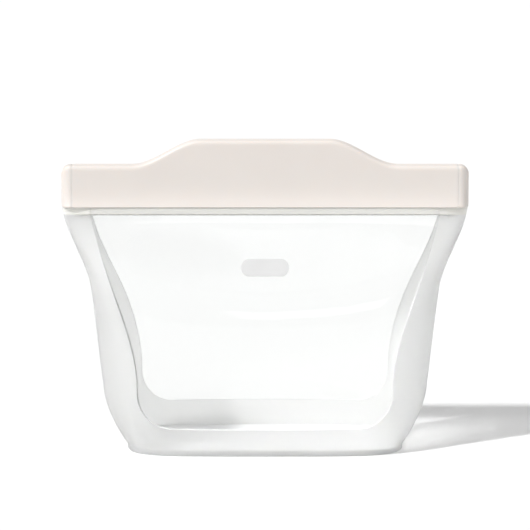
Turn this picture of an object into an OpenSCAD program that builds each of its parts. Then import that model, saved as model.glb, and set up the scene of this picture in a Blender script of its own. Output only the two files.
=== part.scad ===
// Stand-up silicone storage bag with a press-to-close mouth, shown closed.
//
// Millimetres, +Z up, origin on the floor under the middle of the base. X runs along the mouth,
// and the front of the bag faces -Y. Every wall follows one skin: at each height a closed curve
// of half-width half_w(z) and half-depth half_d(z), whose corners get squarer towards the mouth.

/* [Overall] */
// Width across the closed mouth
rim_w = 190; // [170:1:210]
// Height to the top of the pull tabs
tab_z = 145; // [138:1:155]
// Depth of the bag at its fullest
belly_d = 68; // [56:1:80]

/* [Base] */
// Width of the footprint
foot_w = 129; // [110:1:136]
// Depth of the footprint
foot_d = 56; // [44:1:60]
// Thickness of the base
base_t = 2.6; // [2:0.1:4]
// Height over which the wall curves out from the base
heel_h = 27; // [18:1:32]

/* [Walls] */
// Thickness of the wall
wall_t = 1.8; // [1.2:0.1:2.4]
// Width that the straight part of the sides would have at the floor
hip_w = 146; // [140:1:150]
// Height where the sides start to flare towards the mouth
flare_z = 76; // [66:1:82]
// Height where the front and rear start to close towards the mouth
close_z = 60; // [50:1:70]
// Height where the walls meet the rim
neck_z = 113.8; // [112:0.2:115]
// Thickness of the closed neck, front to rear
neck_d = 10.4; // [9:0.2:13]

/* [Windows] */
// Height of the lower edge of each window
window_z = 13.6; // [10:0.2:18]
// Height of the neck band above each window
band_h = 3.6; // [2:0.2:4]
// Half-width of each window at its foot
window_foot = 59.5; // [50:0.5:62]
// Half-width that the edges of each window spread towards
window_top = 83; // [72:1:84]
// Corner radius at the foot of each window
window_r = 16; // [8:1:24]

/* [Rim] */
// Height of the rim beside the tabs
rim_z = 133.2; // [131:0.2:136]
// Half-width of the level top of each tab
tab_top = 30; // [20:1:40]
// Half-width of each tab where it runs out into the rim
tab_foot = 62; // [54:1:72]
// Length of the joined piece at each end of the rim
end_l = 5; // [4:0.5:8]
// How far the lower edge of the rim stands out from the neck
rim_step = 1.6; // [1.2:0.1:2]

/* [Seal] */
// Thickness of each seal strip inside the rim
strip_t = 2.6; // [2.4:0.1:2.8]
// How far each bead stands out from its strip
bead_h = 1.9; // [1:0.1:2]
// Half-width of a bead at its root
bead_root = 1.3; // [1.2:0.1:1.5]
// Half-width of a bead at its tip
bead_tip = 0.6; // [0.4:0.1:0.7]
// Height of the lower bead
lower_bead_z = 118.4; // [118:0.1:119]
// Height of the upper bead
upper_bead_z = 124.6; // [124:0.1:126]
// Clearance between a bead and its groove
bead_gap = 0.4; // [0.35:0.05:0.5]

/* [Hidden] */

FRONT = -1; // sign of Y on the front
REAR = 1; // sign of Y on the rear
gap = 0.3; // running clearance between pieces that move apart
lip_gap = 0.4; // clearance between the closed lips
side_lean = 0.11; // how much wider each side gets for each unit of height
end_step = 0.4; // how far the rim stands out from the neck at its ends
belly_n = 2.8; // squareness of the skin at its fullest
base_n = 4.6; // squareness of the skin at the base
neck_n = 8; // squareness of the skin at the neck
heel_curve = 1.8; // shape of the heel: 1 is a straight slope
window_low_z = 32; // height where the windows start to widen
window_high_z = 126; // height where their edges would be upright again
strip_top_z = 129.6; // top of the seal strips
strip_end_gap = 2; // clearance from a seal strip to a rim end
strip_w = rim_w - 2 * end_l - 2 * strip_end_gap; // length of the seal strips
groove_run = 0.3; // how much wider each groove is at its mouth
edge_r = 1.5; // rounding along the top edge of the rim
foot_r = 1; // rounding along the lower edge of the rim
rim_corner_r = 4.5; // rounding at the top corner of each rim end
rim_face = [[3, 0.9], [6, 1.7], [10, 2.2]]; // flare of the rim: height above its foot, way in
lip_top_t = 3.8; // thickness of a lip at the top of its tab
bead_tip_r = 0.3; // chamfer at the tip of a bead
bead_zs = [lower_bead_z, upper_bead_z];
patch_z = 88; // height of the label patch
patch_w = 22; // width of the label patch
patch_h = 7; // height of the label patch
patch_t = 0.3; // how far the label patch stands out from the window
patch_bed = 0.15; // how deep the label patch is bonded into the window

band_z = neck_z - band_h; // lower edge of the neck bands
seam_z = window_z - gap; // top of the heel band
end_x = rim_w / 2 - end_l; // where the rim ends start
lip_x = end_x - gap; // where the lips stop
lip_face = lip_gap / 2; // distance from the middle to each lip's inner face
strip_back = lip_face + strip_t; // distance from the middle to the back of a seal strip
rim_back = neck_d / 2 + rim_step; // distance from the middle to the foot of the rim
crown = lip_face + lip_top_t; // distance from the middle to the rim's face at its top
groove_root = bead_root + bead_gap + groove_run; // half-width of a groove at its mouth

// ---- The skin ----

function clamp01(t) = min(1, max(0, t));
// 0 below a, 1 above b, and a smooth step between them
function ramp(v, a, b) = let(t = clamp01((v - a) / (b - a))) t * t * (3 - 2 * t);
// 1 at the top of the base, falling to 0 at the top of the heel
function heel(z) = pow(clamp01((heel_h - z) / (heel_h - base_t)), heel_curve);
function closing(z) = ramp(z, close_z, neck_z);

function side_line(z) = hip_w / 2 + side_lean * z;
function half_w(z) = side_line(z) - (side_line(base_t) - foot_w / 2) * heel(z)
    + (rim_w / 2 - end_step - side_line(neck_z)) * ramp(z, flare_z, neck_z);
function half_d(z) = belly_d / 2 - (belly_d - foot_d) / 2 * heel(z)
    - (belly_d - neck_d) / 2 * closing(z);
function squareness(z) = belly_n + (base_n - belly_n) * heel(z) + (neck_n - belly_n) * closing(z);

// Point on the skin at height z. t is 0 in the middle of the face and 90 at the side; depth is
// how far inside the outer surface the point lies.
function skin(z, t, side, depth = 0) =
    let (n = squareness(z), s = sin(t))
    [(half_w(z) - depth) * s, side * (half_d(z) - depth) * pow(max(0, 1 - pow(abs(s), n)), 1 / n), z];
// The angle on the skin at which x is reached at height z
function skin_angle(x, z) = asin(min(1, x / half_w(z)));

// Half-width of a window at height z, with its round lower corners
function window_half(z) =
    let (rise = max(0, window_r - (z - window_z)))
    window_foot + (window_top - window_foot) * ramp(z, window_low_z, window_high_z)
        - (window_r - sqrt(max(0, window_r * window_r - rise * rise)));

// count + 1 even steps from a to b
function steps(a, b, count) = [for (i = [0:count]) a + (b - a) * i / count];
// Heights of the rows of points in a window, which the side walls share
function window_rows() = steps(window_z, band_z, 18);

// ---- Solids between two grids of points ----

// A closed solid between an outer and an inner grid with the same rows and columns. With wrap,
// each row is a closed loop.
module slab(outer, inner, wrap = false) {
    rows = len(outer);
    cols = len(outer[0]);
    function o(i, j) = i * cols + j % cols;
    function n(i, j) = rows * cols + i * cols + j % cols;
    function quad(a, b, c, d) = [[a, b, c], [a, c, d]];
    last = wrap ? cols - 1 : cols - 2;
    faces = [
        for (j = [0:last]) each concat(
            [for (i = [0:rows - 2]) each quad(o(i, j), o(i + 1, j), o(i + 1, j + 1), o(i, j + 1))],
            [for (i = [0:rows - 2]) each quad(n(i, j), n(i, j + 1), n(i + 1, j + 1), n(i + 1, j))],
            quad(o(0, j), o(0, j + 1), n(0, j + 1), n(0, j)),
            quad(o(rows - 1, j), n(rows - 1, j), n(rows - 1, j + 1), o(rows - 1, j + 1))
        ),
        if (!wrap) for (i = [0:rows - 2]) each concat(
            quad(o(i, 0), n(i, 0), n(i + 1, 0), o(i + 1, 0)),
            quad(o(i, cols - 1), o(i + 1, cols - 1), n(i + 1, cols - 1), n(i, cols - 1))
        )
    ];
    polyhedron(points = concat([for (r = outer) each r], [for (r = inner) each r]), faces = faces);
}

// A closed solid through rings of points that all have the same count
module loft(rings) {
    count = len(rings[0]);
    last = len(rings) - 1;
    faces = concat(
        [[for (j = [0:count - 1]) j]],
        [[for (j = [count - 1:-1:0]) last * count + j]],
        [for (i = [0:last - 1], j = [0:count - 1]) let (k = (j + 1) % count) each
            [[i * count + j, (i + 1) * count + j, (i + 1) * count + k],
             [i * count + j, (i + 1) * count + k, i * count + k]]]
    );
    polyhedron(points = [for (r = rings) each r], faces = faces);
}

// ---- Pouch ----

module base_panel() {
    outline = [
        for (t = [-90:4:86]) skin(base_t, t, FRONT),
        for (t = [90:-4:-86]) skin(base_t, t, REAR)
    ];
    color("gainsboro")
        linear_extrude(base_t) polygon([for (p = outline) [p.x, p.y]]);
}

module heel_band() {
    function ring(z, depth) = [
        for (t = [-90:6:84]) skin(z, t, FRONT, depth),
        for (t = [90:-6:-84]) skin(z, t, REAR, depth)
    ];
    rows = steps(base_t, seam_z, 4);
    color("whitesmoke")
        slab([for (z = rows) ring(z, 0)], [for (z = rows) ring(z, wall_t)], wrap = true);
}

// From the edge of the front window round the end of the bag to the edge of the rear window
module right_side_wall() {
    rows = concat([seam_z], window_rows(), [neck_z - gap]);
    function strip(z, depth) =
        let (t0 = skin_angle(window_half(min(max(z, window_z), band_z)) + gap, z))
        [for (t = steps(t0, 90, 8)) skin(z, t, FRONT, depth),
         for (i = [7:-1:0]) skin(z, t0 + (90 - t0) * i / 8, REAR, depth)];
    color("whitesmoke")
        slab([for (z = rows) strip(z, 0)], [for (z = rows) strip(z, wall_t)]);
}

module left_side_wall() {
    mirror([1, 0, 0]) right_side_wall();
}

// ---- Faces that open ----

// A patch of the front skin between two heights, from -reach(z) to reach(z) in X
module face_patch(rows, reach, cols, outer_depth, inner_depth) {
    function strip(z, depth) =
        let (t1 = skin_angle(reach(z), z)) [for (t = steps(-t1, t1, cols)) skin(z, t, FRONT, depth)];
    slab([for (z = rows) strip(z, outer_depth(z))], [for (z = rows) strip(z, inner_depth(z))]);
}

module window_face() {
    face_patch(window_rows(), function(z) window_half(z), 16, function(z) 0, function(z) wall_t);
}

// The wall thickens here until it reaches the middle of the closed mouth
module neck_band_face() {
    root_t = neck_d / 2 - lip_face;
    face_patch(steps(band_z, neck_z, 3), function(z) window_half(band_z), 18,
        function(z) 0, function(z) wall_t + (root_t - wall_t) * ramp(z, band_z, neck_z));
}

// Outer face of the rim in section, from its foot up to its top, as [y, z]
function rim_outline(low, top) = concat(
    [for (a = [-90:45:0]) [rim_back - foot_r * (1 - cos(a)), low + foot_r * (1 + sin(a))]],
    [for (p = rim_face) [rim_back - p[1], low + p[0]]],
    [for (a = [0:30:90]) [crown - edge_r * (1 - cos(a)), top - edge_r * (1 - sin(a))]]
);

// Section of a lip whose top is at a height, with a step for the seal strip, as [y, z]
function lip_section(top) =
    let (inner_r = 0.6 * edge_r)
    concat(
        [[strip_back, neck_z]],
        rim_outline(neck_z, top),
        [for (a = [90:-45:0]) [lip_face + inner_r * (1 - cos(a)), top - inner_r * (1 - sin(a))]],
        [[lip_face, strip_top_z], [strip_back, strip_top_z]]
    );

function tab_height(x) = tab_z - (tab_z - rim_z) * ramp(abs(x), tab_top, tab_foot);

module lip_face_solid() {
    half = concat(
        steps(0, tab_top, 2), [for (x = steps(tab_top, tab_foot, 9)) if (x > tab_top) x],
        [for (x = steps(tab_foot, lip_x, 3)) if (x > tab_foot) x]
    );
    stations = concat([for (i = [len(half) - 1:-1:1]) -half[i]], half);
    loft([for (x = stations) [for (p = lip_section(tab_height(x))) [x, -p.x, p.y]]]);
}

module front_window() { color("aliceblue", 0.4) window_face(); }
module rear_window() { color("aliceblue", 0.4) mirror([0, 1, 0]) window_face(); }
module front_neck_band() { color("lightgray") neck_band_face(); }
module rear_neck_band() { color("lightgray") mirror([0, 1, 0]) neck_band_face(); }
module front_lip() { color("linen") lip_face_solid(); }
module rear_lip() { color("linen") mirror([0, 1, 0]) lip_face_solid(); }

module label_patch() {
    // Half-width of a bar with round ends, at height z
    function bar(z) =
        let (r = patch_h / 2, h = min(r, abs(z - patch_z)))
        patch_w / 2 - r + sqrt(max(0.04, r * r - h * h));
    color("white")
        face_patch(steps(patch_z - patch_h / 2, patch_z + patch_h / 2, 10), function(z) bar(z), 6,
            function(z) -patch_t, function(z) patch_bed);
}

// ---- Rim ends, where the two lips are one piece ----

module right_rim_end() {
    end_narrow = 0.2; // depth of the end's tip, as a share of the rim's depth
    corner_x = rim_w / 2 - rim_corner_r;
    function fade(x) = max(end_narrow, sqrt(max(0, 1 - pow((x - end_x) / end_l, 2))));
    function top(x) =
        let (over = max(0, x - corner_x))
        rim_z - rim_corner_r + sqrt(max(0, rim_corner_r * rim_corner_r - over * over));
    function ring(x) =
        let (half = rim_outline(neck_z - gap, top(x)), k = fade(x), last = len(half) - 1)
        concat([for (p = half) [x, k * p[0], p[1]]],
            [for (i = [last:-1:0]) [x, -k * half[i][0], half[i][1]]]);
    color("linen") loft([for (a = [0:15:90]) ring(end_x + end_l * sin(a))]);
}

module left_rim_end() {
    mirror([1, 0, 0]) right_rim_end();
}

// ---- Seal ----

// A profile in [y, z] drawn out along X, centred
module along_x(length) {
    translate([-length / 2, 0, 0]) rotate([90, 0, 90]) linear_extrude(length) children();
}

// Section of a bead that stands out of a face at y = 0, pointing along +Y
module bead_profile(height, root, tip) {
    half = [[height, tip - bead_tip_r], [height - bead_tip_r, tip], [0, root]];
    polygon(concat([for (i = [2:-1:0]) [half[i][0], -half[i][1]]], half));
}

module front_seal_strip() {
    color("lightgray") along_x(strip_w)
        translate([-strip_back, neck_z]) square([strip_t, strip_top_z - neck_z]);
}

module seal_bead(z) {
    color("gainsboro") along_x(strip_w)
        translate([-lip_face, z]) bead_profile(bead_h + lip_gap, bead_root, bead_tip);
}

module lower_seal_bead() { seal_bead(bead_zs[0]); }
module upper_seal_bead() { seal_bead(bead_zs[1]); }

module rear_seal_track() {
    color("lightgray") along_x(strip_w) difference() {
        translate([lip_face, neck_z]) square([strip_t, strip_top_z - neck_z]);
        for (z = bead_zs) translate([-lip_face, z])
            bead_profile(bead_h + lip_gap + bead_gap, groove_root, bead_tip + bead_gap);
    }
}

base_panel();
heel_band();
left_side_wall();
right_side_wall();
left_rim_end();
right_rim_end();
front_window();
front_neck_band();
front_lip();
front_seal_strip();
upper_seal_bead();
lower_seal_bead();
label_patch();
rear_window();
rear_neck_band();
rear_lip();
rear_seal_track();
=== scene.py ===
"""Looks for a stand-up silicone bag: frosted pouch, clear windows and an opaque press-to-close rim.

Lengths are millimetres up to make_piece(), which turns them into metres. The studio is in metres.
"""

import math

import bpy
import numpy as np
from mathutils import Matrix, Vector


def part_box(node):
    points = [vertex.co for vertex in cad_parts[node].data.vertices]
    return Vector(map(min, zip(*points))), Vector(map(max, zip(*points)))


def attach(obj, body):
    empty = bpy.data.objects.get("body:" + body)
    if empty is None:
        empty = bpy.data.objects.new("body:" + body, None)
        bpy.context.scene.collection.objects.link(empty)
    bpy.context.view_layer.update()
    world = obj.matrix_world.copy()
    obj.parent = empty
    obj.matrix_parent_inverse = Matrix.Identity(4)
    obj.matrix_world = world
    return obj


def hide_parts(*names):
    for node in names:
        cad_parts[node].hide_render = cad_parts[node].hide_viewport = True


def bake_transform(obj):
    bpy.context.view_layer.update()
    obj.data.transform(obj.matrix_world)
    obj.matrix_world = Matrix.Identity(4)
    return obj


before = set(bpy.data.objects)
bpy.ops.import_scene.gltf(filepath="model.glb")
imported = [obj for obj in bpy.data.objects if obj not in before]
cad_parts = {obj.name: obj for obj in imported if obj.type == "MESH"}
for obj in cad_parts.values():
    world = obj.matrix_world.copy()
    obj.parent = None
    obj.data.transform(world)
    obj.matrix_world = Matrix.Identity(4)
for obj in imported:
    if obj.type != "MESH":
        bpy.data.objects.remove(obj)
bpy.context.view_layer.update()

MM = 0.001


def box_mm(node):
    """Lowest and highest corner of a CAD node, in millimetres."""
    low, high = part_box(node)
    return np.array(low) / MM, np.array(high) / MM


# ---- Dimensions, from the frame ----

base_high = box_mm("base_panel")[1]
window_low, window_high = box_mm("front_window")
lip_low, lip_high = box_mm("front_lip")
strip_low, strip_high = box_mm("front_seal_strip")
end_low, end_high = box_mm("right_rim_end")
patch_low, patch_high = box_mm("label_patch")
bead_boxes = [box_mm("lower_seal_bead"), box_mm("upper_seal_bead")]

FOOT_W, FOOT_D, BASE_T = base_high[0] * 2, base_high[1] * 2, base_high[2]
BELLY_D = -window_low[1] * 2
WINDOW_Z, BAND_Z = window_low[2], window_high[2]
NECK_Z = lip_low[2]
RIM_W = end_high[0] * 2
RIM_Z, TAB_Z = end_high[2], lip_high[2]
END_X = end_low[0]
RIM_BACK = -lip_low[1]
LIP_FACE = -lip_high[1]
STRIP_BACK = -strip_low[1]
STRIP_TOP = strip_high[2]
STRIP_X = strip_high[0]
PATCH_Z = (patch_low[2] + patch_high[2]) / 2
PATCH_W, PATCH_H = patch_high[0] - patch_low[0], patch_high[2] - patch_low[2]
BEAD_HEIGHTS = [(low[2] + high[2]) / 2 for low, high in bead_boxes]

# ---- Shape of the skin, as the CAD part has it ----

WALL_T = 1.8
HEEL_H = 27  # height at which the walls have curved out from the base
HEEL_CURVE = 1.8  # how quickly they curve
HIP_W = 146  # width that the sides would have at the floor, without the heel
SIDE_LEAN = 0.11  # how much a side leans out for each millimetre up
FLARE_Z = 76  # height from which the sides flare out to the rim
END_STEP = 0.4  # how far the rim stands proud of the sides
RIM_STEP = 1.6  # how far it stands proud of the front and the rear
NECK_D = 2 * (RIM_BACK - RIM_STEP)
CLOSE_Z = 60  # height from which the front and the rear come together
BELLY_N, BASE_N, NECK_N = 2.8, 4.6, 8  # how square the bag is from above
WINDOW_FOOT, WINDOW_TOP, WINDOW_R = 59.5, 83, 16  # half-widths of a window and its corner radius
WINDOW_LOW_Z, WINDOW_HIGH_Z = 32, 126  # heights between which a window widens
TAB_TOP, TAB_FOOT = 30, 62  # half-widths of a pull tab
SLUMP_GROWS, SLUMP_FADES = (14, 45), (88, 108)  # heights where a wall's unevenness comes and goes

# ---- Shape of the details ----

SEAM = 0.01  # gap between two kinds of silicone
SOFT_EDGE, BAND_EDGE = 0.05, 0.12  # bevels of the walls, and of the neck band and patch
FOOT_PROFILE = [(0.1, 0.6), (0.25, 0.25), (0.6, 0)]  # the wall's lower edge: height, and how far in
FOOT_LOW_Z, FOOT_LIFT = 0.7, 3.5  # height of the foot strip, whose darker silicone is painted shade, and how much it lifts at the corners
FOOT_FLAT_X, FOOT_LIFTED_X = 47, 61  # distances from the middle between which it lifts
BAND_STEP = 1.15  # how far the neck band stands proud of the wall
BAND_ROUND = 0.5  # height over which it does so
BAND_FADE_X, BAND_END_X = 80, RIM_W / 2 - 3  # distances from the middle between which it runs out
CROWN = 4.0  # distance from the middle of the mouth to a lip's face, at its top
FOOT_R, EDGE_R, INNER_R = 0.45, 1.7, 0.9  # radii of the rim at its foot and its top, outside and inside
FOOT_TILT = 32  # degrees that the rim's face leans back at its foot
END_CORNER = 4.5  # radius of the upper corner of the rim's end
ROLL = [(0.3, 0.1), (0.6, 0.35), (0.85, 0.7), (1, 1)]  # a soft end: how far along it, and how far in
CREASE_W, CREASE_DEPTH, CREASE_GAP = 1.6, 0.2, 0.02  # where a lip meets a rim end
GROOVE = [(2.05, 0), (1.9, 0.12), (1.15, 1.9), (0.8, 2.25)]  # half-width of a groove at each depth
BEAD_H, BEAD_ROOT, BEAD_TIP = 2.3, 1.3, 0.62  # height of a bead, and its half-widths
PATCH_STEP = 0.3  # how far the label patch stands proud of the window


def ramp(v, a, b):
    """0 below a, 1 above b, and a smooth step between."""
    t = np.clip((np.asarray(v, float) - a) / (b - a), 0, 1)
    return t * t * (3 - 2 * t)


def heel(z):
    """How far the heel draws the skin in: 1 at the top of the base and 0 above the heel."""
    return (np.maximum(0, HEEL_H - z) / (HEEL_H - BASE_T)) ** HEEL_CURVE


def side_line(z):
    """Half-width of the bag along the straight run of its sides."""
    return HIP_W / 2 + SIDE_LEAN * z


def half_w(z):
    """Half-width of the skin at height z."""
    flare = RIM_W / 2 - END_STEP - side_line(NECK_Z)
    return side_line(z) - (side_line(BASE_T) - FOOT_W / 2) * heel(z) + flare * ramp(z, FLARE_Z, NECK_Z)


def half_d(z):
    """Half-depth of the skin at height z."""
    closing = (BELLY_D - NECK_D) / 2 * ramp(z, CLOSE_Z, NECK_Z)
    return BELLY_D / 2 - (BELLY_D - FOOT_D) / 2 * heel(z) - closing


def squareness(z):
    """Exponent of the superellipse that the skin follows at height z."""
    at_base = (BASE_N - BELLY_N) * np.minimum(1, heel(z))
    at_neck = (NECK_N - BELLY_N) * ramp(z, CLOSE_Z, NECK_Z)
    return BELLY_N + at_base + at_neck


def window_half(z):
    """Half-width of a window at height z, with its round lower corners."""
    rise = np.clip(WINDOW_R - (z - WINDOW_Z), 0, WINDOW_R)
    corner = WINDOW_R - np.sqrt(WINDOW_R**2 - rise**2)
    return WINDOW_FOOT + (WINDOW_TOP - WINDOW_FOOT) * ramp(z, WINDOW_LOW_Z, WINDOW_HIGH_Z) - corner


def slump(x, z, side):
    """Gentle unevenness of a soft wall: how far it stands out from its ideal curve."""
    free = ramp(z, *SLUMP_GROWS) * (1 - ramp(z, *SLUMP_FADES))
    if side < 0:
        wave = 0.7 * np.sin(x / 21 + 0.8) * np.sin(z / 13 + 0.4) + 0.45 * np.sin(x / 33 - z / 17)
    else:
        wave = 0.6 * np.sin(x / 24 - 0.5) * np.sin(z / 15 + 1.9) + 0.5 * np.sin(x / 29 + z / 19 + 2)
    return wave * free


def arc(z, x_from, x_to, count, side):
    """Evenly spaced points on the skin at height z, from x_from to x_to on one face, x not negative.

    Each point of the flatter run is found from its x, and of the steeper run round the end from its y.
    An x_to past the end of the bag stops at its end.
    """
    a, b, n = float(half_w(z)), float(half_d(z)), float(squareness(z))
    middle = 0.5 ** (1 / n)
    s0, s1 = min(x_from / a, 1), min(x_to / a, 1)
    flat = np.linspace(s0, min(s1, max(s0, middle)), 60)
    xs, ys = a * flat, b * (1 - flat**n) ** (1 / n)
    if s1 > middle:
        v0 = (1 - max(s0, middle) ** n) ** (1 / n)
        v1 = (1 - s1**n) ** (1 / n)
        steep = np.linspace(v0, v1, 120)
        xs = np.append(xs, a * (1 - steep**n) ** (1 / n))
        ys = np.append(ys, b * steep)
    length = np.append(0, np.cumsum(np.hypot(np.diff(xs), np.diff(ys))))
    at = np.linspace(0, length[-1], count)
    x, y = np.interp(at, length, xs), np.interp(at, length, ys)
    y = y + slump(x, z, side) * (y / b)
    return np.column_stack([x, side * y, np.full(count, z)])


def mirrored(points):
    """The same points on the other side of the middle, in the opposite order."""
    return (points * [-1, 1, 1])[::-1]


# ---- Meshes ----

def index_quads(index):
    """Quads over a grid of point indices."""
    corners = index[:-1, :-1], index[:-1, 1:], index[1:, 1:], index[1:, :-1]
    return [tuple(q) for q in np.stack(corners, axis=-1).reshape(-1, 4).tolist()]


def grid_quads(rows, cols, loop=False):
    """Quads over rows of points, each row closed on itself if it is a loop."""
    index = np.arange(rows * cols).reshape(rows, cols)
    return index_quads(np.column_stack([index, index[:, :1]]) if loop else index)


def vertex_normals(points, quads):
    """Unit normals at the points of a sheet."""
    q = np.array(quads)
    face = np.cross(points[q[:, 2]] - points[q[:, 0]], points[q[:, 3]] - points[q[:, 1]])
    total = np.zeros_like(points)
    for k in range(4):
        np.add.at(total, q[:, k], face)
    return total / np.maximum(np.linalg.norm(total, axis=1), 1e-12)[:, None]


def thicken(points, quads, inward, outward=0.0):
    """A closed wall from one sheet of quads that face outwards."""
    normals = vertex_normals(points, quads)
    count = len(points)
    inward = np.broadcast_to(inward, count)[:, None]
    outward = np.broadcast_to(outward, count)[:, None]
    solid = np.vstack([points + outward * normals, points - inward * normals])
    directed = {(q[k], q[(k + 1) % 4]) for q in quads for k in range(4)}
    edge = [(u, v) for u, v in directed if (v, u) not in directed]
    faces = list(quads)
    faces += [tuple(count + v for v in q[::-1]) for q in quads]
    faces += [(v, u, u + count, v + count) for u, v in sorted(edge)]
    return solid, faces


def loft(rings):
    """A closed solid through rings of points, capped at both ends."""
    count = len(rings[0])
    points = np.vstack(rings)
    faces = grid_quads(len(rings), count, loop=True)
    faces.append(tuple(range(count))[::-1])
    faces.append(tuple(range(len(points) - count, len(points))))
    return points, faces


def make_piece(name, points, faces, material, bevel=0.0):
    """A Blender object, in metres, from points in millimetres."""
    mesh = bpy.data.meshes.new(name)
    mesh.from_pydata((np.asarray(points) * MM).tolist(), [], [tuple(f) for f in faces])
    mesh.validate()
    mesh.update()
    piece = bpy.data.objects.new(name, mesh)
    bpy.context.scene.collection.objects.link(piece)
    mesh.materials.append(material)
    mesh.shade_smooth()
    mesh.set_sharp_from_angle(angle=math.radians(50))
    if bevel:
        soft = piece.modifiers.new("soft_edges", "BEVEL")
        soft.width = bevel * MM
        soft.segments = 2
        soft.limit_method = "ANGLE"
        soft.angle_limit = math.radians(50)
        soft.harden_normals = True
    return piece


# ---- Baking the soft walls' placement ----


def bend(piece):
    """Bakes a piece's placement into its mesh and reads out its points."""
    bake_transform(piece)
    co = np.empty(len(piece.data.vertices) * 3, np.float32)
    piece.data.vertices.foreach_get("co", co)


# ---- Materials ----

def new_silicone(name, transmission=0.0):
    """A material with the refraction of silicone, and the parts that a recipe needs."""
    mat = bpy.data.materials.new(name)
    mat.use_nodes = True
    nodes = mat.node_tree.nodes
    shader = nodes["Principled BSDF"]
    shader.inputs["IOR"].default_value = 1.41
    shader.inputs["Transmission Weight"].default_value = transmission
    return mat, nodes, mat.node_tree.links, shader


def scatter_light(shader, weight, reach, scale=0.5):
    """Lets light spread inside the material, over a reach in millimetres for red, green and blue."""
    shader.inputs["Subsurface Weight"].default_value = weight
    shader.inputs["Subsurface Radius"].default_value = [r * MM for r in reach]
    shader.inputs["Subsurface Scale"].default_value = scale


def object_noise(nodes, links, scale, detail=2.0, stretch=(1, 1, 1)):
    """Noise over the object's own coordinates, in metres."""
    place = nodes.new("ShaderNodeTexCoord")
    mapping = nodes.new("ShaderNodeMapping")
    mapping.inputs["Scale"].default_value = stretch
    noise = nodes.new("ShaderNodeTexNoise")
    noise.inputs["Scale"].default_value = scale
    noise.inputs["Detail"].default_value = detail
    links.new(place.outputs["Object"], mapping.inputs["Vector"])
    links.new(mapping.outputs["Vector"], noise.inputs["Vector"])
    return noise.outputs["Fac"]


def vary_roughness(nodes, links, shader, source, low, high):
    """Roughness between two values, following a noise."""
    span = nodes.new("ShaderNodeMapRange")
    span.inputs["From Min"].default_value = 0.3
    span.inputs["From Max"].default_value = 0.7
    span.inputs["To Min"].default_value = low
    span.inputs["To Max"].default_value = high
    links.new(source, span.inputs["Value"])
    links.new(span.outputs["Result"], shader.inputs["Roughness"])


def vary_colour(nodes, links, shader, source, first, second):
    """Base colour between two colours, following a noise."""
    mix = nodes.new("ShaderNodeMix")
    mix.data_type = "RGBA"
    mix.inputs["A"].default_value = (*first, 1)
    mix.inputs["B"].default_value = (*second, 1)
    links.new(source, mix.inputs["Factor"])
    links.new(mix.outputs["Result"], shader.inputs["Base Color"])


def add_bump(nodes, links, shader, layers):
    """Bumps from (height, depth in millimetres, strength) layers."""
    normal = None
    for height, depth, strength in layers:
        bump = nodes.new("ShaderNodeBump")
        bump.inputs["Distance"].default_value = depth * MM
        bump.inputs["Strength"].default_value = strength
        links.new(height, bump.inputs["Height"])
        if normal:
            links.new(normal, bump.inputs["Normal"])
        normal = bump.outputs["Normal"]
    links.new(normal, shader.inputs["Normal"])


def let_light_through(nodes, links, shader, share):
    """Lamps shine straight through a thin wall, which refraction alone would stop."""
    path = nodes.new("ShaderNodeLightPath")
    open_air = nodes.new("ShaderNodeBsdfTransparent")
    open_air.inputs["Color"].default_value = (share, share, share, 1)
    mix = nodes.new("ShaderNodeMixShader")
    links.new(path.outputs["Is Shadow Ray"], mix.inputs["Fac"])
    links.new(shader.outputs["BSDF"], mix.inputs[1])
    links.new(open_air.outputs["BSDF"], mix.inputs[2])
    links.new(mix.outputs["Shader"], nodes["Material Output"].inputs["Surface"])


def rim_silicone():
    """Opaque warm off-white silicone, satin, with a fine moulded grain."""
    mat, nodes, links, shader = new_silicone("rim_silicone")
    cloud = object_noise(nodes, links, 45)
    grain = object_noise(nodes, links, 2600, 1)
    vary_colour(nodes, links, shader, cloud, (0.645, 0.60, 0.565), (0.675, 0.63, 0.595))
    vary_roughness(nodes, links, shader, cloud, 0.38, 0.46)
    scatter_light(shader, 0.25, (6, 4.5, 3.5))
    add_bump(nodes, links, shader, [(grain, 0.02, 0.35), (cloud, 0.25, 0.25)])
    return mat


def frosted_silicone():
    """Milky translucent silicone with a fine frosted face."""
    mat, nodes, links, shader = new_silicone("frosted_silicone", transmission=0.72)
    cloud = object_noise(nodes, links, 30)
    frost = object_noise(nodes, links, 3200, 1)
    vary_colour(nodes, links, shader, cloud, (0.93, 0.935, 0.925), (0.96, 0.96, 0.955))
    vary_roughness(nodes, links, shader, cloud, 0.44, 0.54)
    scatter_light(shader, 0.5, (8, 8, 7.5))
    add_bump(nodes, links, shader, [(frost, 0.03, 0.5), (cloud, 0.3, 0.2)])
    let_light_through(nodes, links, shader, 0.2)
    return mat


def base_silicone(name, transmission):
    """The frosted silicone of the base, which is thicker and so milkier than the walls. With a high
    transmission it makes the foot strip, a darker copy that is painted shade under the lifted corners of
    the bag.
    """
    mat, nodes, links, shader = new_silicone(name, transmission)
    cloud = object_noise(nodes, links, 30)
    frost = object_noise(nodes, links, 3200, 1)
    vary_colour(nodes, links, shader, cloud, (0.96, 0.965, 0.96), (0.98, 0.98, 0.98))
    vary_roughness(nodes, links, shader, cloud, 0.46, 0.56)
    scatter_light(shader, 0.6, (8, 8, 7.5), scale=0.6)
    add_bump(nodes, links, shader, [(frost, 0.03, 0.5), (cloud, 0.3, 0.2)])
    return mat


def clear_silicone():
    """Clear glossy silicone with the faint drawn streaks of its mould."""
    mat, nodes, links, shader = new_silicone("clear_silicone", transmission=0.97)
    streaks = object_noise(nodes, links, 22, 2, stretch=(2.6, 1, 0.5))
    vary_colour(nodes, links, shader, streaks, (0.965, 0.972, 0.968), (0.985, 0.988, 0.985))
    vary_roughness(nodes, links, shader, streaks, 0.03, 0.09)
    add_bump(nodes, links, shader, [(streaks, 0.5, 0.2)])
    let_light_through(nodes, links, shader, 0.85)
    return mat


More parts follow.
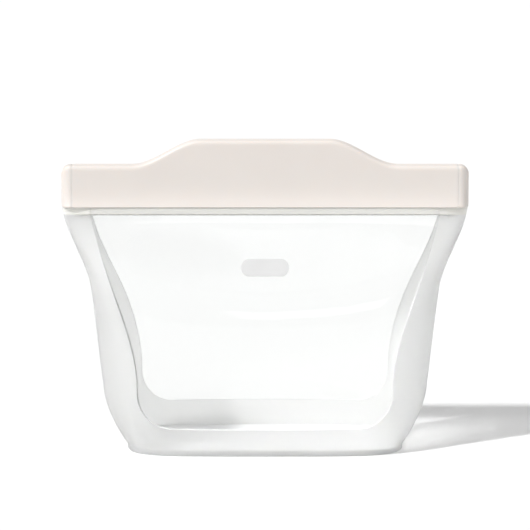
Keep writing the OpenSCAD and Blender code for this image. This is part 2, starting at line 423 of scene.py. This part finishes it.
def neck_silicone():
    """Translucent grey-white silicone where the wall thickens under the rim."""
    mat, nodes, links, shader = new_silicone("neck_silicone", transmission=0.35)
    cloud = object_noise(nodes, links, 60)
    grain = object_noise(nodes, links, 2600, 1)
    vary_colour(nodes, links, shader, cloud, (0.925, 0.915, 0.86), (0.95, 0.94, 0.89))
    vary_roughness(nodes, links, shader, cloud, 0.3, 0.4)
    scatter_light(shader, 0.4, (6, 6, 5.5))
    add_bump(nodes, links, shader, [(grain, 0.02, 0.3)])
    return mat


def seal_silicone():
    """Smooth translucent silicone of the seal."""
    mat, nodes, links, shader = new_silicone("seal_silicone", transmission=0.12)
    cloud = object_noise(nodes, links, 80)
    vary_colour(nodes, links, shader, cloud, (0.71, 0.71, 0.68), (0.75, 0.75, 0.72))
    vary_roughness(nodes, links, shader, cloud, 0.3, 0.4)
    scatter_light(shader, 0.4, (5, 5, 4.5))
    add_bump(nodes, links, shader, [(cloud, 0.1, 0.3)])
    return mat


def patch_silicone():
    """Finely frosted silicone of the raised label patch."""
    mat, nodes, links, shader = new_silicone("patch_silicone", transmission=0.4)
    frost = object_noise(nodes, links, 4000, 1)
    cloud = object_noise(nodes, links, 150)
    vary_colour(nodes, links, shader, cloud, (0.74, 0.74, 0.74), (0.79, 0.79, 0.79))
    vary_roughness(nodes, links, shader, cloud, 0.4, 0.5)
    add_bump(nodes, links, shader, [(frost, 0.03, 0.5)])
    return mat


RIM = rim_silicone()
FROSTED = frosted_silicone()
BASE = base_silicone("base_silicone", 0.05)
# The foot strip: the base silicone made more transmissive and so darker, as painted shade under the
# lifted corners.
FOOT_PAINTED_SHADE = base_silicone("foot_silicone_painted_shade", 0.75)
CLEAR = clear_silicone()
NECK = neck_silicone()
SEAL = seal_silicone()
PATCH = patch_silicone()

# ---- Pouch ----

SIDE_COLS = 48  # points from a window's edge to the end of the bag
FACE_COLS = 22  # points from the middle of a window to its edge


def side_row(z, x_from):
    """Skin points round the right end of the bag at height z, from one window's edge to the other's."""
    front = arc(z, x_from, RIM_W, SIDE_COLS, -1)
    rear = arc(z, x_from, RIM_W, SIDE_COLS, 1)[::-1]
    return np.vstack([front, rear[1:]])


def face_row(z, reach, side):
    """Skin points across one face of the bag at height z, from -reach to reach."""
    half = arc(z, 0, reach, FACE_COLS, side)
    return np.vstack([mirrored(half), half[1:]])


def skin_ring(pattern, z, inset=0.0):
    """A loop of skin points at heights z, spread round the bag as the pattern's points are.

    The skin is upright beside the base.
    """
    a0, b0, n0 = half_w(WINDOW_Z), half_d(WINDOW_Z), squareness(WINDOW_Z)
    up = (np.abs(pattern[:, 1]) / b0) ** (n0 / 2)
    along = (np.abs(pattern[:, 0]) / a0) ** (n0 / 2)
    angle = np.arctan2(up, along)
    level = np.maximum(z, BASE_T)
    n = squareness(level)
    x = np.sign(pattern[:, 0]) * (half_w(level) - inset) * np.cos(angle) ** (2 / n)
    y = np.sign(pattern[:, 1]) * (half_d(level) - inset) * np.maximum(np.sin(angle), 0) ** (2 / n)
    return np.column_stack([x, y, np.broadcast_to(z, len(pattern))])


def window_heights():
    """Heights of the rows of a window, close together up its round lower corners."""
    corner = WINDOW_Z + WINDOW_R * (1 - np.cos(np.linspace(0, math.pi / 2, 26)))
    straight = np.linspace(WINDOW_Z + WINDOW_R, BAND_Z, 42)
    return np.append(corner, straight[1:])


def foot_arch(x):
    """Height up to which the wall takes the darker foot silicone, which is painted shade. It lifts at the
    corners of the base.
    """
    return FOOT_LOW_Z + FOOT_LIFT * ramp(np.abs(x), FOOT_FLAT_X, FOOT_LIFTED_X)


def pouch_loop():
    """A loop of skin points at the foot of the windows, from the front left round to the right."""
    z, x0 = WINDOW_Z, float(window_half(WINDOW_Z)) + SEAM
    right = side_row(z, x0)
    rear = face_row(z, x0, 1)[::-1]
    return np.vstack([face_row(z, x0, -1), right[1:], rear[1:], mirrored(right)[1:-1]])


def band_rise(points):
    """How far the band under the rim stands proud of the skin. It runs out at the ends."""
    along = 1 - ramp(np.abs(points[:, 0]), BAND_FADE_X, BAND_END_X)
    return BAND_STEP * ramp(points[:, 2], BAND_Z, BAND_Z + BAND_ROUND) * along


def make_frosted_wall():
    """The pouch's wall all round, with the two window openings left out of it."""
    loop = pouch_loop()
    low = foot_arch(loop[:, 0])
    edge_top = FOOT_PROFILE[-1][0]
    rings = [skin_ring(loop, z, inset) for z, inset in FOOT_PROFILE]
    rings += [skin_ring(loop, edge_top + (low - edge_top) * level) for level in (0.33, 0.67)]
    rings += [skin_ring(loop, low + (WINDOW_Z - SEAM - low) * level) for level in np.linspace(0, 1, 14)]
    points = np.vstack(rings)
    faces = grid_quads(len(rings), len(loop), loop=True)
    # The sides go on up between the windows, from the points of the top ring that lie under them.
    side_count = 2 * SIDE_COLS - 1
    face_count = 2 * FACE_COLS - 1
    top_ring = (len(rings) - 1) * len(loop)
    right_columns = top_ring + face_count - 1 + np.arange(side_count)
    left_columns = top_ring + (2 * (face_count - 1) + side_count - 1 + np.arange(side_count)) % len(loop)
    near_band = BAND_Z + np.array([0.17, 0.33, BAND_ROUND, 1.2])
    heights = np.concatenate([window_heights()[1:], near_band, [NECK_Z - 0.05]])
    rows = [side_row(z, float(window_half(min(z, BAND_Z))) + SEAM) for z in heights]
    for columns, turn in ((right_columns, False), (left_columns, True)):
        first = len(points)
        points = np.vstack([points] + [mirrored(r) if turn else r for r in rows])
        index = np.vstack([columns, first + np.arange(len(rows) * side_count).reshape(-1, side_count)])
        faces += index_quads(index)
    solid, faces = thicken(points, faces, WALL_T, band_rise(points))
    piece = make_piece("frosted_wall", solid, faces, FROSTED, SOFT_EDGE)
    piece.data.materials.append(FOOT_PAINTED_SHADE)
    piece.data.materials.append(NECK)
    # Below the foot arch the wall takes the darker foot silicone, painted shade; above the band, the neck
    # silicone.
    for face in piece.data.polygons:
        x, _, z = face.center / MM
        face.material_index = 1 if z < foot_arch(x) else 2 if z > BAND_Z else 0
    return piece


def make_base_panel():
    """Flat base with a soft lower edge and a shallow recess under it, clear of the wall round it."""
    loop = pouch_loop()
    inside_wall = WALL_T + 0.15
    profile = [(0.5, 9), (0.5, 7.4), (0, 6.8), (0, 1.3), (0.12, 0.75), (0.4, 0.35), (0.9, 0),
               (BASE_T - 0.5, 0), (BASE_T - 0.12, 0.15), (BASE_T, 0.5)]
    rings = []
    for z, inset in profile:
        ring = skin_ring(loop, BASE_T, inset + inside_wall)
        ring[:, 2] = z
        rings.append(ring)
    points, faces = loft(rings)
    piece = make_piece("base_panel", points, faces, FROSTED)
    piece.data.materials.append(BASE)
    underside = 0.05
    for face in piece.data.polygons:
        face.material_index = int(face.center.z > underside * MM)
    return piece


# ---- Faces that open ----

def make_window(name, side):
    """A clear wall. Its edges are milky, where it is fused to the frosted silicone."""
    heights = window_heights()
    rows = [face_row(z, float(window_half(z)), side) for z in heights]
    if side > 0:
        rows = [r[::-1] for r in rows]
    points = np.vstack(rows)
    quads = grid_quads(len(rows), len(rows[0]))
    solid, faces = thicken(points, quads, WALL_T)
    piece = make_piece(name, solid, faces, CLEAR, SOFT_EDGE)
    piece.data.materials.append(BASE)
    for face in piece.data.polygons[2 * len(quads):]:
        face.material_index = 1
    return piece


def make_neck_band(name, side):
    """The thicker wall between a window and its lip, with its rows closest where it rises."""
    heights = BAND_Z + SEAM + np.array([0, 0.15, 0.3, 0.45, 0.9, 1.6, 2.4, NECK_Z - BAND_Z - 2 * SEAM])
    reach = float(window_half(BAND_Z))
    rows = [face_row(z, reach, side) for z in heights]
    if side > 0:
        rows = [r[::-1] for r in rows]
    points = np.vstack(rows)
    thickest = NECK_D / 2 - LIP_FACE - 0.2
    depth = WALL_T + (thickest - WALL_T) * ramp(points[:, 2], BAND_Z, NECK_Z)
    solid, faces = thicken(points, grid_quads(len(rows), len(rows[0])), depth, band_rise(points))
    return make_piece(name, solid, faces, NECK, BAND_EDGE)


def tab_height(x):
    """Height of a lip's upper edge."""
    return TAB_Z - (TAB_Z - RIM_Z) * float(ramp(abs(x), TAB_TOP, TAB_FOOT))


def rounded(centre, radius, start, stop, count):
    """Points of an arc in a section, as (distance from the middle, height)."""
    angles = np.radians(np.linspace(start, stop, count))
    return [(centre[0] + radius * math.cos(t), centre[1] + radius * math.sin(t)) for t in angles]


def rim_outline(top, count=18):
    """The outer face of the rim in section, flared at its foot and round at its top."""
    foot = rounded((RIM_BACK - FOOT_R, NECK_Z + FOOT_R), FOOT_R, -90, FOOT_TILT, 8)
    reach, low = foot[-1]
    flare_h = (reach - CROWN) / math.tan(math.radians(FOOT_TILT))
    heights = np.linspace(low, top - EDGE_R, count)[1:]
    face = [(CROWN + (reach - CROWN) * math.exp((low - z) / flare_h), z) for z in heights]
    return foot + face + rounded((CROWN - EDGE_R, top - EDGE_R), EDGE_R, 12, 90, 8)


def lip_section(top):
    """A lip in section, with the recess that the seal lies in."""
    return (
        [(STRIP_BACK, NECK_Z)] + rim_outline(top)
        + rounded((LIP_FACE + INNER_R, top - INNER_R), INNER_R, 90, 180, 6)
        + [(LIP_FACE, STRIP_TOP + (top - INNER_R - STRIP_TOP) / 2), (LIP_FACE, STRIP_TOP + SEAM)]
        + [(STRIP_BACK, STRIP_TOP + SEAM)]
    )


def end_section(top, fade):
    """Half of the section of a rim end, from under its middle up to its top."""
    return [(d * fade, z) for d, z in [(0, NECK_Z)] + rim_outline(top) + [(0, top)]]


def in_mouth(section, x, side):
    """A section placed across the mouth at x, on the front or the rear."""
    return np.array([(x, side * d, z) for d, z in section])


def outward(points, faces):
    """Turns all faces over if they face into the solid."""
    volume = 0
    for f in faces:
        p = points[list(f)]
        volume += sum(np.dot(p[0], np.cross(p[k], p[k + 1])) for k in range(1, len(f) - 1))
    return faces if volume > 0 else [tuple(f)[::-1] for f in faces]


def shrunk(ring, by):
    """A ring drawn in towards its middle, in Y and Z, for a soft end."""
    middle = (ring.min(axis=0) + ring.max(axis=0)) / 2
    size = (ring.max(axis=0) - ring.min(axis=0)) / 2
    scale = 1 - by / np.maximum(size, by * 2)
    scale[0] = 1
    return middle + (ring - middle) * scale


def soft_ended(stations, section, side, width, depth):
    """A loft along the mouth whose two ends roll in softly, over a width and to a depth."""
    rings = [in_mouth(section(x), x, side) for x in stations]
    reach = stations[-1]
    for along, by in ROLL:
        rings.insert(0, shrunk(in_mouth(section(-reach), -reach - along * width, side), by * depth))
        rings.append(shrunk(in_mouth(section(reach), reach + along * width, side), by * depth))
    points, faces = loft(rings)
    return points, outward(points, faces)


def make_lip(name, side):
    """A lip with its pull tab."""
    reach = END_X - CREASE_GAP - CREASE_W
    points, faces = soft_ended(np.linspace(-reach, reach, 181), lambda x: lip_section(tab_height(x)),
                               side, CREASE_W, CREASE_DEPTH)
    return make_piece(name, points, faces, RIM)


def make_rim_end(name, sign):
    """An end of the rim, rounded along the mouth and at its upper corner."""
    length = RIM_W / 2 - END_X
    stations = [(END_X + (1 - along) * CREASE_W, by * CREASE_DEPTH) for along, by in ROLL[::-1]]
    start = math.asin(CREASE_W / length)
    stations += [(END_X + length * math.sin(a), 0) for a in np.linspace(start, math.pi / 2, 18)]
    narrowest = 0.04
    rings = []
    for x, by in stations:
        fade = max(narrowest, math.sqrt(max(0, 1 - ((x - END_X) / length) ** 2)))
        over = max(0, x - (RIM_W / 2 - END_CORNER))
        half = end_section(RIM_Z - END_CORNER + math.sqrt(max(0, END_CORNER**2 - over**2)), fade)
        ring = np.vstack([in_mouth(half, x, -1), in_mouth(half[-2:0:-1], x, 1)])
        rings.append(shrunk(ring, by) * [sign, 1, 1])
    points, faces = loft(rings)
    return make_piece(name, points, outward(points, faces), RIM)


# ---- Seal ----

def strip_section(x):
    """The front seal strip in section, the same all along."""
    r = 0.3
    low, high = NECK_Z + SEAM, STRIP_TOP
    inner, back = LIP_FACE, STRIP_BACK - SEAM
    return (
        rounded((back - r, low + r), r, -90, 0, 4) + rounded((back - r, high - r), r, 0, 90, 4)
        + rounded((inner + r, high - r), r, 90, 180, 4) + rounded((inner + r, low + r), r, 180, 270, 4)
    )


def bead_section(z):
    """A bead in section, standing on the front strip at height z and reaching across the closed mouth."""
    root = LIP_FACE + 0.02
    end = root - BEAD_H
    r = 0.45
    return (
        [(root, z - BEAD_ROOT)] + rounded((end + r, z - BEAD_TIP + r), r, 250, 180, 4)
        + rounded((end + r, z + BEAD_TIP - r), r, 180, 110, 4) + [(root, z + BEAD_ROOT)]
    )


def make_bead(name, z):
    """A bead that runs the length of the front seal strip."""
    stations = np.linspace(-STRIP_X + 0.5, STRIP_X - 0.5, 111)
    points, faces = soft_ended(stations, lambda x: bead_section(z), -1, 0.4, 0.4)
    return make_piece(name, points, faces, SEAL)


def track_section(x):
    """The rear seal strip in section, with its two grooves, the same all along."""
    low, high, back = NECK_Z + SEAM, STRIP_TOP, STRIP_BACK - SEAM
    edge = 0.3
    points = [(back, low), (back, high), (LIP_FACE + edge, high), (LIP_FACE, high - edge)]
    for z in BEAD_HEIGHTS[::-1]:
        points += [(LIP_FACE + depth, z + half) for half, depth in GROOVE]
        points += [(LIP_FACE + depth, z - half) for half, depth in GROOVE[::-1]]
    return points + [(LIP_FACE, low + edge), (LIP_FACE + edge, low)]


STRIP_STATIONS = np.linspace(-STRIP_X + 0.4, STRIP_X - 0.4, 111)


def make_seal_strip():
    """The plain inner face of the front lip."""
    points, faces = soft_ended(STRIP_STATIONS, strip_section, -1, 0.3, 0.3)
    return make_piece("front_seal_strip", points, faces, SEAL)


def make_seal_track():
    """The grooved inner face of the rear lip."""
    points, faces = soft_ended(STRIP_STATIONS, track_section, 1, 0.3, 0.3)
    return make_piece("rear_seal_track", points, faces, SEAL)


def make_label_patch():
    """A plain bar with round ends, raised on the front window."""
    r = PATCH_H / 2
    rows = []
    for t in np.linspace(-88, 88, 27):
        up = r * math.sin(math.radians(t))
        reach = PATCH_W / 2 - r + r * math.cos(math.radians(t))
        half = arc(PATCH_Z + up, 0, reach, 25, -1)
        rows.append(np.vstack([mirrored(half), half[1:]]))
    points = np.vstack(rows)
    solid, faces = thicken(points, grid_quads(len(rows), len(rows[0])), -0.02, PATCH_STEP)
    return make_piece("label_patch", solid, faces, PATCH, BAND_EDGE)


frosted = make_frosted_wall()
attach(frosted, "pouch")
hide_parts("heel_band", "left_side_wall", "right_side_wall")

base = make_base_panel()
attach(base, "pouch")
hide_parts("base_panel")

for label, sign in (("left_rim_end", -1), ("right_rim_end", 1)):
    rim_end = make_rim_end(label, sign)
    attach(rim_end, "pouch")
    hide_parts(label)

moving = {
    "front_wall": [
        make_window("front_window", -1), make_neck_band("front_neck_band", -1), make_lip("front_lip", -1),
        make_seal_strip(), make_bead("lower_seal_bead", BEAD_HEIGHTS[0]),
        make_bead("upper_seal_bead", BEAD_HEIGHTS[1]), make_label_patch(),
    ],
    "rear_wall": [
        make_window("rear_window", 1), make_neck_band("rear_neck_band", 1), make_lip("rear_lip", 1),
        make_seal_track(),
    ],
}
for body, soft_pieces in moving.items():
    for piece in soft_pieces:
        bend(piece)
        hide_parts(piece.name.split(".")[0])

# ---- Studio ----

def add_floor():
    """A plain pale floor."""
    mesh = bpy.data.meshes.new("floor")
    reach = 6.0
    mesh.from_pydata([(-reach, -reach, 0), (reach, -reach, 0), (reach, reach, 0), (-reach, reach, 0)],
                     [], [(0, 1, 2, 3)])
    floor = bpy.data.objects.new("floor", mesh)
    bpy.context.scene.collection.objects.link(floor)
    mat = bpy.data.materials.new("floor")
    mat.use_nodes = True
    shader = mat.node_tree.nodes["Principled BSDF"]
    shader.inputs["Base Color"].default_value = (0.8, 0.8, 0.8, 1)
    shader.inputs["Roughness"].default_value = 0.9
    shader.inputs["Specular IOR Level"].default_value = 0.1
    mesh.materials.append(mat)


def add_key_light(direction, strength, spread_angle):
    """A distant lamp in the given direction, so that the floor is lit evenly."""
    data = bpy.data.lights.new("key", "SUN")
    data.energy = strength
    data.angle = math.radians(spread_angle)
    lamp = bpy.data.objects.new("key", data)
    lamp.rotation_euler = Vector(direction).to_track_quat("Z", "Y").to_euler()
    lamp.visible_transmission = False
    bpy.context.scene.collection.objects.link(lamp)


def add_softbox(name, place, size, power, target=(0, 0, 0.07)):
    """A rectangular lamp that faces the bag."""
    data = bpy.data.lights.new(name, "AREA")
    data.shape = "RECTANGLE"
    data.size, data.size_y = size
    data.energy = power
    lamp = bpy.data.objects.new(name, data)
    lamp.location = place
    lamp.rotation_euler = (Vector(target) - Vector(place)).to_track_quat("-Z", "Y").to_euler()
    lamp.visible_transmission = False
    bpy.context.scene.collection.objects.link(lamp)


def set_world(strength):
    """Even white light from all round."""
    world = bpy.data.worlds.new("studio")
    world.use_nodes = True
    world.node_tree.nodes["Background"].inputs["Color"].default_value = (1, 1, 1, 1)
    world.node_tree.nodes["Background"].inputs["Strength"].default_value = strength
    bpy.context.scene.world = world


def add_camera():
    """A long lens straight in front, looking slightly down."""
    distance = 1.6
    elevation = math.radians(11)
    seen_width = 0.2483
    target = Vector((0, 0, 0.0855))
    data = bpy.data.cameras.new("camera")
    data.sensor_width = 36
    data.lens = 36 * distance / seen_width
    camera = bpy.data.objects.new("camera", data)
    camera.location = target + distance * Vector((0, -math.cos(elevation), math.sin(elevation)))
    camera.rotation_euler = (math.pi / 2 - elevation, 0, 0)
    bpy.context.scene.collection.objects.link(camera)
    bpy.context.scene.camera = camera


add_floor()
set_world(0.59)
add_key_light((-0.73, -0.51, 1), 3.0, 4)
add_softbox("front", (0.35, -1.9, 1.0), (1.0, 0.5), 2.5)
add_camera()
bpy.context.scene.view_settings.view_transform = "Standard"

bpy.context.view_layer.update()
